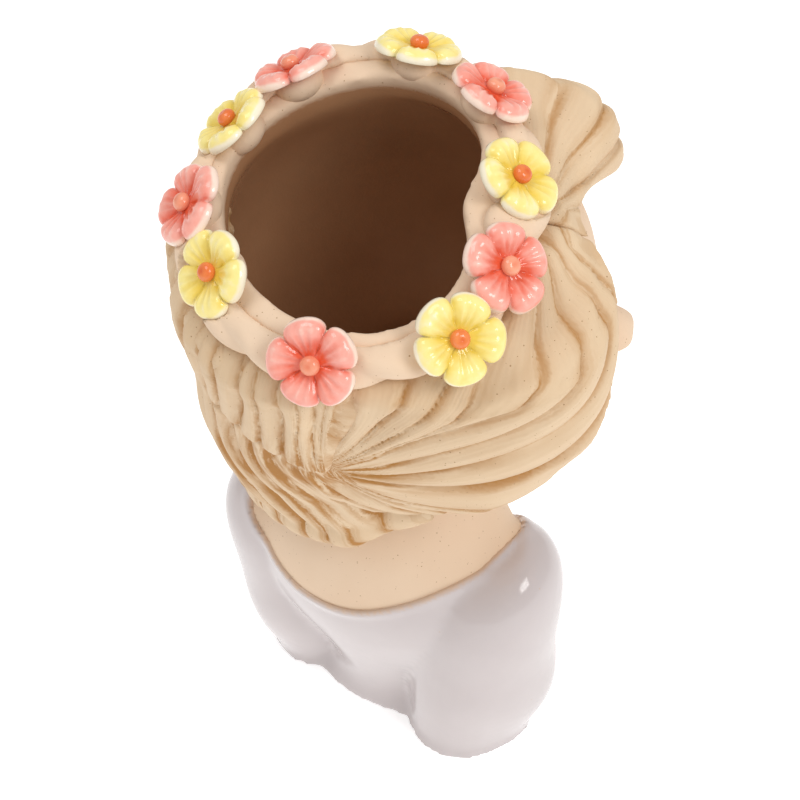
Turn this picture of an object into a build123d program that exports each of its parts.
"""Head planter: a hollow stoneware bust whose head is open at the crown and ringed with flowers.

Millimetres. The origin is the middle of the base, on the shoulders' axis. +Z is up, the face looks along
-Y and the figure's right is -X. The shoulders are turned away from the face, and the head leans back.
"""

import os
from math import cos, pi, radians, sin, sqrt

from build123d import *

# Stance of the head over the shoulders
shoulder_turn = 70.0  # degrees from the face's heading to the chest's heading
head_lean = 20.0  # degrees, towards the head's right
chin_lift = 5.0  # degrees
pivot_x = 16.5  # middle of the neck's top
pivot_y = -6.0

# Clay
wall = 6.0
floor = 8.0

# Bust: half widths and reaches at the foot, the chest and the shoulder line
foot_half_width = 38.0
foot_front = 34.0
foot_back = 15.0
chest_height = 52.0
chest_half_width = 46.0
chest_front = 36.0
chest_back = 26.0
shoulder_height = 82.0
shoulder_half_width = 50.0
shoulder_half_depth = 29.0
neck_root_rise = 28.0  # of the neck's root over the shoulder line
neck_rise = 51.0  # of the neck's top over the shoulder line
neck_root_radius = 27.0
neck_root_forward = 9.0
neck_radius = 24.0
neckline_rise = 2.0  # of the dress's neckline over the shoulder line
neckline_dip = 7.0  # degrees, lower at the back
breast_radius = 22.0
breast_height = 56.0
breast_spread = 20.0
breast_forward = 19.0

# Arm stumps
arm_spread_foot = 31.0
arm_spread_top = 41.0
arm_half_width = 23.0
arm_half_depth = 25.0
arm_foot_taper = 2.0
right_arm_forward = 0.0  # how far the foot of each arm is carried to the front
left_arm_forward = 12.0
arm_rise = 13.0  # of the arms' tops over the shoulder line
arm_dome = 23.0  # height of the domed shoulder
dome_rises = (0, 0.5, 0.8, 0.94)  # levels of the domed shoulder, as shares of its height

# Head, in heights above the neck's top: half width, reach to the front and reach to the back
jaw_height = 31.0
jaw_half_width = 34.0
jaw_front = 50.0
jaw_back = 42.0
cheek_height = 56.0
cheek_half_width = 46.0
cheek_front = 57.0
cheek_back = 54.0
brow_height = 84.0
brow_half_width = 49.0
brow_front = 61.0
brow_back = 53.0
crown_height = 110.0
crown_half_width = 44.0
crown_front = 41.5
crown_back = 41.5
rim_rise = 10.0  # of the rim over the hair's shelf
chin_radius = 15.0
chin_rise = 1.5  # how far the chin stands out from the jaw
chin_height = 16.0
eye_drop = 6.0  # of the eyes and the nose's root below the brows
nose_tip_rise = 5.0  # of the tip above the nose's base
nose_root_half_width = 3.0
nose_bridge_half_width = 5.0
nose_tip_half_width = 8.0
nose_base_half_width = 7.0
nose_root_front = 59.0
nose_bridge_front = 65.0
nose_tip_front = 71.0
nose_base_front = 66.0

# Hair: half width, reach of the two front waves, of the parting between them and of the back
nape_height = 2.0
nape_half_width = 42.0
nape_front = 48.0
nape_back = 50.0
ear_height = 40.0
ear_half_width = 54.0
ear_front = 66.0
ear_back = 65.0
temple_height = 78.0
temple_half_width = 56.0
temple_front = 67.0
temple_back = 60.0
wave_drop = 13.0  # of the waves under the crown
wave_half_width = 55.0
wave_front = 68.0
wave_back = 55.0
shelf_half_width = 54.0
shelf_front = 61.0
shelf_back = 52.0
wave_spread = 37.0
parting_depth = 5.0
back_corner_turn = 35.0  # degrees from the back of the head to its corners
hairline_drop = 7.0  # of the hairline's middle under the crown
hairline_flare = 28.0  # how much the hair opens to each side, well in front of the face
hairline_right_width = 27.0
hairline_left_width = 32.0
hairline_jaw_width = 38.0
hair_edge_front = 26.0
hair_low_height = 20.0  # of the hair's lower edge over the ear
hair_low_slope = 15.0  # degrees, lower at the nape
panel_thickness = 3.5
panel_turn = 45.0  # degrees from the back of the head towards its right
panel_half_width = 46.0
panel_tip_height = 65.0
panel_tip_side = 33.0
panel_edge_height = 79.0  # of its lower edge in the middle
roll_radius = 13.0
roll_end_radius = 5.0
roll_half_width = 48.0
roll_half_depth = 56.0
roll_drop = 12.0  # of its middle below the hair's lower edge
roll_start = -70.0  # degrees from the back of the head, the left end first
roll_end = 95.0
roll_steps = 6

# Grooves that the comb leaves between the locks. Each has a start, a bend and an end, as degrees of turn
# from the face to the right and of rise, seen from a point inside the head
comb_height = 80.0
groove_radius = 3.0
groove_end_radius = 1.2
groove_lift = 0.3  # of its middle over the hair, as a share of its radius
groove_steps = 8
sweep_grooves = (
    ((68, 31), (80, 18), (90, 4)),
    ((42, 19), (68, 14), (86, -2)),
    ((31, 18), (55, 5), (83, -8)),
    ((22, 14), (46, -6), (81, -14)),
    ((25, 2), (44, -26), (80, -22)),
)
panel_grooves = (
    ((97, 29), (100, 14), (101, -1)),
    ((109, 29), (108, 18), (112, -4)),
    ((122, 29), (119, 18), (126, 2)),
    ((140, 29), (134, 18), (139, 2)),
    ((160, 29), (154, 18), (156, 2)),
    ((180, 29), (176, 18), (174, 4)),
)
nape_grooves = (
    ((101, -20), (100, -30), (88, -40)),
    ((112, -20), (112, -36), (98, -50)),
    ((126, -18), (127, -36), (112, -53)),
    ((142, -18), (144, -36), (128, -55)),
    ((160, -18), (162, -36), (146, -55)),
)

# Wreath and flowers
band_width = 5.5
band_round = 4.0
round_share = 0.4  # of the band's height, the most that its edges are rounded
flower_angles = (-151, -121, -75, -43, -8, 25, 52, 97, 147, 175)
flower_insets = (3, 2, 0, 0, 3, 0, -4, -2, 3, 0)  # how far each one is set in over the rim
flower_tilt = 50.0  # degrees that a flower faces upwards
flower_reach = 3.0  # from the head's wall at the crown to the flower's back
flower_lift = 1.0  # above the rim
petal_count = 5
petal_half_length = 5.8
petal_half_width = 4.9
petal_reach = 5.6
petal_thickness = 3.0
petal_edge = 1.0
stub_radius = 4.5
stub_length = 8.0
bead_radius = 2.6

# Working planes and values that follow from the ones above
shoulder_plane = Plane(Location((0, 0, 0), (0, 0, shoulder_turn)))
neck_height = shoulder_height + neck_rise
head_plane = Plane(Location((pivot_x, pivot_y, neck_height), (-chin_lift, -head_lean, 0)))
dress_seam = Plane(shoulder_plane.origin, x_dir=shoulder_plane.x_dir, z_dir=shoulder_plane.y_dir)
head_seam = Plane(head_plane.origin, x_dir=head_plane.x_dir, z_dir=head_plane.y_dir)
neckline_height = shoulder_height + neckline_rise
neckline_plane = Plane(Location((0, 0, neckline_height), (0, 0, shoulder_turn))).rotated(
    (-neckline_dip, 0, 0)
)
neck_root_height = shoulder_height + neck_root_rise
shelf_height = crown_height
rim_height = crown_height + rim_rise
wave_height = crown_height - wave_drop
hairline_height = crown_height - hairline_drop
arm_top_height = shoulder_height + arm_rise
arm_shoulder_height = arm_top_height - arm_dome
crown_middle = (crown_back - crown_front) / 2
crown_half_depth = (crown_back + crown_front) / 2
far = 200.0  # beyond every outline, for cutting prisms


def ellipse_section(plane, height, half_width, front, back):
    """An ellipse across the plane's X that reaches front along -Y and back along +Y."""
    with BuildSketch(plane.offset(height)) as section:
        with Locations((0, (back - front) / 2)):
            Ellipse(half_width, (back + front) / 2)
    return section.sketch


def wave_section(height, half_width, front, back):
    """A hair outline with two waves at the front and the parting's dip between them."""
    corner_back = back * cos(radians(back_corner_turn))
    with BuildSketch(head_plane.offset(height)) as section:
        with BuildLine():
            Spline(
                (0, -front + parting_depth),
                (-wave_spread, -front),
                (-half_width, 0),
                (-wave_spread, corner_back),
                (0, back),
                (wave_spread, corner_back),
                (half_width, 0),
                (wave_spread, -front),
                periodic=True,
            )
        make_face()
    return section.sketch


def torso_sections(inset, low):
    """Sections of the bust and neck, set in by the clay's wall for the cavity."""
    with BuildSketch(head_plane) as neck_top:
        Circle(neck_radius - inset)
    root = neck_root_radius - inset
    return [
        ellipse_section(shoulder_plane, low, foot_half_width - inset, foot_front - inset, foot_back - inset),
        ellipse_section(shoulder_plane, chest_height, chest_half_width - inset, chest_front - inset,
                        chest_back - inset),
        ellipse_section(shoulder_plane, shoulder_height, shoulder_half_width - inset,
                        shoulder_half_depth - inset, shoulder_half_depth - inset),
        ellipse_section(shoulder_plane, neck_root_height, root, root + neck_root_forward,
                        root - neck_root_forward),
        neck_top.sketch,
    ]


def head_sections(inset):
    """Sections of the head from the neck's top to the crown."""
    return [
        ellipse_section(head_plane, 0, neck_radius - inset, neck_radius - inset, neck_radius - inset),
        ellipse_section(head_plane, jaw_height, jaw_half_width - inset, jaw_front - inset, jaw_back - inset),
        ellipse_section(head_plane, cheek_height, cheek_half_width - inset, cheek_front - inset,
                        cheek_back - inset),
        ellipse_section(head_plane, brow_height, brow_half_width - inset, brow_front - inset,
                        brow_back - inset),
        ellipse_section(head_plane, crown_height, crown_half_width - inset, crown_front - inset,
                        crown_back - inset),
    ]


def hair_sections(proud):
    """Outlines of the hair from the nape to the shelf, raised by proud."""
    return [
        wave_section(nape_height, nape_half_width + proud, nape_front + proud, nape_back + proud),
        wave_section(ear_height, ear_half_width + proud, ear_front + proud, ear_back + proud),
        wave_section(temple_height, temple_half_width + proud, temple_front + proud, temple_back + proud),
        wave_section(wave_height, wave_half_width + proud, wave_front + proud, wave_back + proud),
        wave_section(shelf_height, shelf_half_width + proud, shelf_front + proud, shelf_back + proud),
    ]


# Whole forms that the pieces are cut from
with BuildPart() as torso_form:
    loft(torso_sections(0, 0))

with BuildPart() as torso_cavity:
    loft(torso_sections(wall, floor))

with BuildPart() as head_form:
    loft(head_sections(0))
    with BuildSketch(head_plane.offset(crown_height)):
        with Locations((0, crown_middle)):
            Ellipse(crown_half_width, crown_half_depth)
    extrude(amount=rim_height - crown_height)
    with Locations(head_plane.offset(chin_height + chin_radius).location):
        with Locations((0, chin_radius - jaw_front - chin_rise, 0)):
            Sphere(chin_radius)

with BuildPart() as head_cavity:
    loft(head_sections(wall))
    with BuildSketch(head_plane.offset(crown_height)):
        with Locations((0, crown_middle)):
            Ellipse(crown_half_width - wall, crown_half_depth - wall)
    extrude(amount=far)

with BuildPart() as hair_form:
    loft(hair_sections(0))

with BuildPart() as bust_form:
    add(torso_form.part)
    with Locations(shoulder_plane.offset(breast_height).location):
        with Locations((-breast_spread, -breast_forward), (breast_spread, -breast_forward)):
            Sphere(breast_radius)

# Lower bust in its white dress, with the floor that it stands on, pressed in a front and a back half
with BuildPart() as dress_form:
    add(bust_form.part)
    split(bisect_by=neckline_plane, keep=Keep.BOTTOM)
    add(torso_cavity.part, mode=Mode.SUBTRACT)

with BuildPart() as dress_front:
    add(dress_form.part)
    split(bisect_by=dress_seam, keep=Keep.BOTTOM)

with BuildPart() as dress_back:
    add(dress_form.part)
    split(bisect_by=dress_seam, keep=Keep.TOP)

# Bare shoulders, back and neck
with BuildPart() as shoulder_yoke:
    add(bust_form.part)
    split(bisect_by=neckline_plane, keep=Keep.TOP)
    add(torso_cavity.part, mode=Mode.SUBTRACT)


def arm_section(side, forward, height, share):
    """One level of an arm: its full outline times share, between its foot's place and its top's."""
    rise = height / arm_top_height
    spread = arm_spread_foot + (arm_spread_top - arm_spread_foot) * rise
    with BuildSketch(shoulder_plane.offset(height)) as section:
        with Locations((side * spread, forward * (rise - 1))):
            Ellipse(arm_half_width * share, arm_half_depth * share)
    return section.sketch


# Arm stumps with domed shoulders, luted to the bust's sides
arms = {}
for name, side, forward in (("right_arm", -1, right_arm_forward), ("left_arm", 1, left_arm_forward)):
    foot_share = 1 - arm_foot_taper / arm_half_width
    levels = [
        arm_section(side, forward, 0, foot_share),
        arm_section(side, forward, arm_shoulder_height / 3, (1 + foot_share) / 2),
        arm_section(side, forward, arm_shoulder_height * 2 / 3, 1),
    ]
    for rise in dome_rises:
        top = arm_shoulder_height + (arm_top_height - arm_shoulder_height) * rise
        levels.append(arm_section(side, forward, top, sqrt(1 - rise**2)))
    with BuildPart() as arm:
        loft(levels)
        add(bust_form.part, mode=Mode.SUBTRACT)
    arms[name] = arm

# Head with its face, plant cavity and rim, pressed in a front and a back half with the seam under the
# hair. Hairline, brows, nose and chin are a third of the face apart.
with BuildPart() as nose_form:
    face_third = (hairline_height - chin_height) / 3
    nose_base_height = chin_height + face_third
    nose_tip_height = nose_base_height + nose_tip_rise
    nose_root_height = chin_height + 2 * face_third - eye_drop
    bridge_height = (nose_root_height + nose_tip_height) / 2
    seat = wall / 2 - jaw_front
    loft(
        [
            ellipse_section(head_plane, nose_base_height, nose_base_half_width, nose_base_front, seat),
            ellipse_section(head_plane, nose_tip_height, nose_tip_half_width, nose_tip_front, seat),
            ellipse_section(head_plane, bridge_height, nose_bridge_half_width, nose_bridge_front, seat),
            ellipse_section(head_plane, nose_root_height, nose_root_half_width, nose_root_front, seat),
        ]
    )

with BuildPart() as open_head:
    add(head_form.part)
    add(nose_form.part)
    add(head_cavity.part, mode=Mode.SUBTRACT)

with BuildPart() as head_front:
    add(open_head.part)
    split(bisect_by=head_seam, keep=Keep.BOTTOM)

with BuildPart() as head_back:
    add(open_head.part)
    split(bisect_by=head_seam, keep=Keep.TOP)

# Hair from the parting round both sides, cut clear of the face and along its lower edge
face_plane = Plane(head_plane.origin, x_dir=head_plane.x_dir, z_dir=-head_plane.y_dir)
middle_plane = Plane(head_plane.origin, x_dir=head_plane.y_dir, z_dir=head_plane.x_dir)
low_plane = head_plane.offset(hair_low_height).rotated((-hair_low_slope, 0, 0))


def window_section(reach, flare):
    """The outline of the face between the hair, reach in front of the head's middle."""
    temple = (hairline_height + ear_height) / 2
    with BuildSketch(face_plane.offset(reach)) as section:
        with BuildLine():
            Spline(
                (-hairline_jaw_width - flare, 0),
                (-hairline_right_width - flare, temple),
                (0, hairline_height),
                (hairline_left_width + flare, temple),
                (hairline_jaw_width + flare, 0),
            )
            Line((-hairline_jaw_width - flare, 0), (hairline_jaw_width + flare, 0))
        make_face()
    return section.sketch


with BuildPart() as hair_mass:
    add(hair_form.part)
    add(head_form.part, mode=Mode.SUBTRACT)
    loft(
        [window_section(hair_edge_front, 0), window_section(wave_front + nose_tip_front, hairline_flare)],
        mode=Mode.SUBTRACT,
    )
    split(bisect_by=low_plane, keep=Keep.TOP)

comb_middle = head_plane.from_local_coords(Vector(0, 0, comb_height))


def comb_groove(form, guide):
    """A tapered tube along the surface of form, from the guide's start past its bend to its end."""
    spots = []
    for step in range(groove_steps + 1):
        share = step / groove_steps
        weights = ((1 - share) ** 2, 2 * share * (1 - share), share**2)
        turn = radians(sum(weight * point[0] for weight, point in zip(weights, guide)))
        rise = radians(sum(weight * point[1] for weight, point in zip(weights, guide)))
        level_out = head_plane.x_dir * -sin(turn) - head_plane.y_dir * cos(turn)
        out = level_out * cos(rise) + head_plane.z_dir * sin(rise)
        hits = form.find_intersection_points(Axis(comb_middle, out))
        reach = max((point - comb_middle).dot(out) for point, normal in hits)
        radius = groove_end_radius + (groove_radius - groove_end_radius) * sin(pi * share)
        spots.append((comb_middle + out * (reach + radius * groove_lift), out, radius))
    levels = []
    for step, (spot, out, radius) in enumerate(spots):
        along = spots[min(step + 1, groove_steps)][0] - spots[max(step - 1, 0)][0]
        with BuildSketch(Plane(spot, x_dir=out, z_dir=along)) as section:
            Circle(radius)
        levels.append(section.sketch)
    with BuildPart() as groove:
        loft(levels)
    return groove.part


# Combed panel over the back of the head, down to its point
turn = radians(panel_turn)
panel_out = head_plane.y_dir * cos(turn) - head_plane.x_dir * sin(turn)
panel_side = head_plane.x_dir * -cos(turn) - head_plane.y_dir * sin(turn)
panel_plane = Plane(head_plane.origin, x_dir=panel_side, z_dir=panel_out)
panel_middle = (shelf_height + panel_tip_height) / 2
with BuildPart() as panel_form:
    loft(hair_sections(panel_thickness))

with BuildPart() as hair_crown_back:
    add(panel_form.part)
    add(hair_form.part, mode=Mode.SUBTRACT)
    with BuildSketch(panel_plane):
        with BuildLine():
            Line((-panel_half_width, shelf_height), (panel_half_width, shelf_height))
            Spline(
                (panel_half_width, shelf_height),
                ((panel_half_width + panel_tip_side) / 2, panel_middle),
                (panel_tip_side, panel_tip_height),
            )
            Spline(
                (panel_tip_side, panel_tip_height),
                (0, panel_edge_height),
                (-panel_half_width, panel_edge_height),
            )
            Line((-panel_half_width, panel_edge_height), (-panel_half_width, shelf_height))
        make_face()
    extrude(amount=far, mode=Mode.INTERSECT)
    for guide in panel_grooves:
        add(comb_groove(panel_form.part, guide), mode=Mode.SUBTRACT)

# Rolled lock along the nape, thick in the middle and thin at its ends
roll_plane = low_plane.offset(-roll_drop)
roll_levels = []
for step in range(roll_steps + 1):
    share = step / roll_steps
    angle = radians(roll_start + (roll_end - roll_start) * share)
    middle = roll_plane.from_local_coords(
        Vector(-roll_half_width * sin(angle), roll_half_depth * cos(angle), 0)
    )
    along = roll_plane.x_dir * (-roll_half_width * cos(angle)) + roll_plane.y_dir * (
        -roll_half_depth * sin(angle)
    )
    with BuildSketch(Plane(middle, x_dir=roll_plane.z_dir, z_dir=along)) as section:
        Circle(roll_end_radius + (roll_radius - roll_end_radius) * sin(pi * share))
    roll_levels.append(section.sketch)
with BuildPart() as roll_form:
    loft(roll_levels)

with BuildPart() as nape_form:
    add(hair_mass.part)
    add(roll_form.part)

nape_cuts = [comb_groove(nape_form.part, guide) for guide in nape_grooves]
with BuildPart() as hair_nape_roll:
    add(roll_form.part)
    add(head_form.part, mode=Mode.SUBTRACT)
    add(hair_mass.part, mode=Mode.SUBTRACT)
    add(hair_crown_back.part, mode=Mode.SUBTRACT)
    add(nape_cuts, mode=Mode.SUBTRACT)

# The two sides of the hair, from the parting back, with their grooves
with BuildPart() as combed_hair:
    add(hair_mass.part)
    for guide in sweep_grooves:
        mirrored = [(-turn, rise) for turn, rise in guide]
        add(comb_groove(hair_form.part, guide), mode=Mode.SUBTRACT)
        add(comb_groove(hair_form.part, mirrored), mode=Mode.SUBTRACT)
    add(nape_cuts, mode=Mode.SUBTRACT)

with BuildPart() as hair_right_sweep:
    add(combed_hair.part)
    split(bisect_by=middle_plane, keep=Keep.BOTTOM)

with BuildPart() as hair_left_sweep:
    add(combed_hair.part)
    split(bisect_by=middle_plane, keep=Keep.TOP)

# Cord of the wreath, on the shelf over the hair and against the head's wall
with BuildPart() as wreath_band:
    with BuildSketch(head_plane.offset(shelf_height)):
        with Locations((0, crown_middle)):
            Ellipse(crown_half_width + band_width, crown_half_depth + band_width)
            Ellipse(crown_half_width, crown_half_depth, mode=Mode.SUBTRACT)
    extrude(amount=rim_height - shelf_height)
    outer_edges = wreath_band.edges().filter_by(GeomType.ELLIPSE).sort_by(SortBy.LENGTH)[-2:]
    fillet(outer_edges, min(band_round, rim_rise * round_share))

# One flower and one bead, made flat on the ground plane
with BuildPart() as flower_form:
    with BuildSketch():
        with PolarLocations(petal_reach, petal_count):
            Ellipse(petal_half_length, petal_half_width)
        Circle(petal_reach)
    extrude(amount=petal_thickness)
    fillet(flower_form.edges().group_by(Axis.Z)[-1], petal_edge)
    with BuildSketch():
        Circle(stub_radius)
    extrude(amount=-stub_length)

with BuildPart() as bead_form:
    with Locations((0, 0, petal_thickness)):
        Sphere(bead_radius, arc_size1=0, align=(Align.CENTER, Align.CENTER, Align.MIN))


def flower_seat(angle, inset):
    """The plane of a flower's back: out from the head's wall, facing outwards and up."""
    half_width = crown_half_width + flower_reach - inset
    half_depth = crown_half_depth + flower_reach - inset
    across = -sin(radians(angle)) * half_width
    along = crown_middle - cos(radians(angle)) * half_depth
    out = head_plane.x_dir * (-sin(radians(angle)) / half_width)
    out = (out + head_plane.y_dir * (-cos(radians(angle)) / half_depth)).normalized()
    facing = out * cos(radians(flower_tilt)) + head_plane.z_dir * sin(radians(flower_tilt))
    place = head_plane.from_local_coords(Vector(across, along, rim_height + flower_lift))
    return Plane(place, x_dir=out.cross(head_plane.z_dir), z_dir=facing)


flowers = {}
for number, (angle, inset) in enumerate(zip(flower_angles, flower_insets), 1):
    seat = flower_seat(angle, inset)
    with BuildPart() as flower:
        with Locations(seat.location):
            add(flower_form.part)
        add(wreath_band.part, mode=Mode.SUBTRACT)
        add(head_form.part, mode=Mode.SUBTRACT)
        add(hair_mass.part, mode=Mode.SUBTRACT)
        add(hair_crown_back.part, mode=Mode.SUBTRACT)
    flowers["flower_" + str(number)] = flower
    with BuildPart() as bead:
        with Locations(seat.location):
            add(bead_form.part)
    flowers["flower_bead_" + str(number)] = bead

pieces = {
    "dress_front": dress_front,
    "dress_back": dress_back,
    "shoulder_yoke": shoulder_yoke,
    "head_front": head_front,
    "head_back": head_back,
    "hair_right_sweep": hair_right_sweep,
    "hair_left_sweep": hair_left_sweep,
    "hair_crown_back": hair_crown_back,
    "hair_nape_roll": hair_nape_roll,
    "wreath_band": wreath_band,
}
pieces.update(arms)
pieces.update(flowers)
os.makedirs("parts", exist_ok=True)
for name, piece in pieces.items():
    piece.part.label = name
    export_step(piece.part, "parts/" + name + ".step")
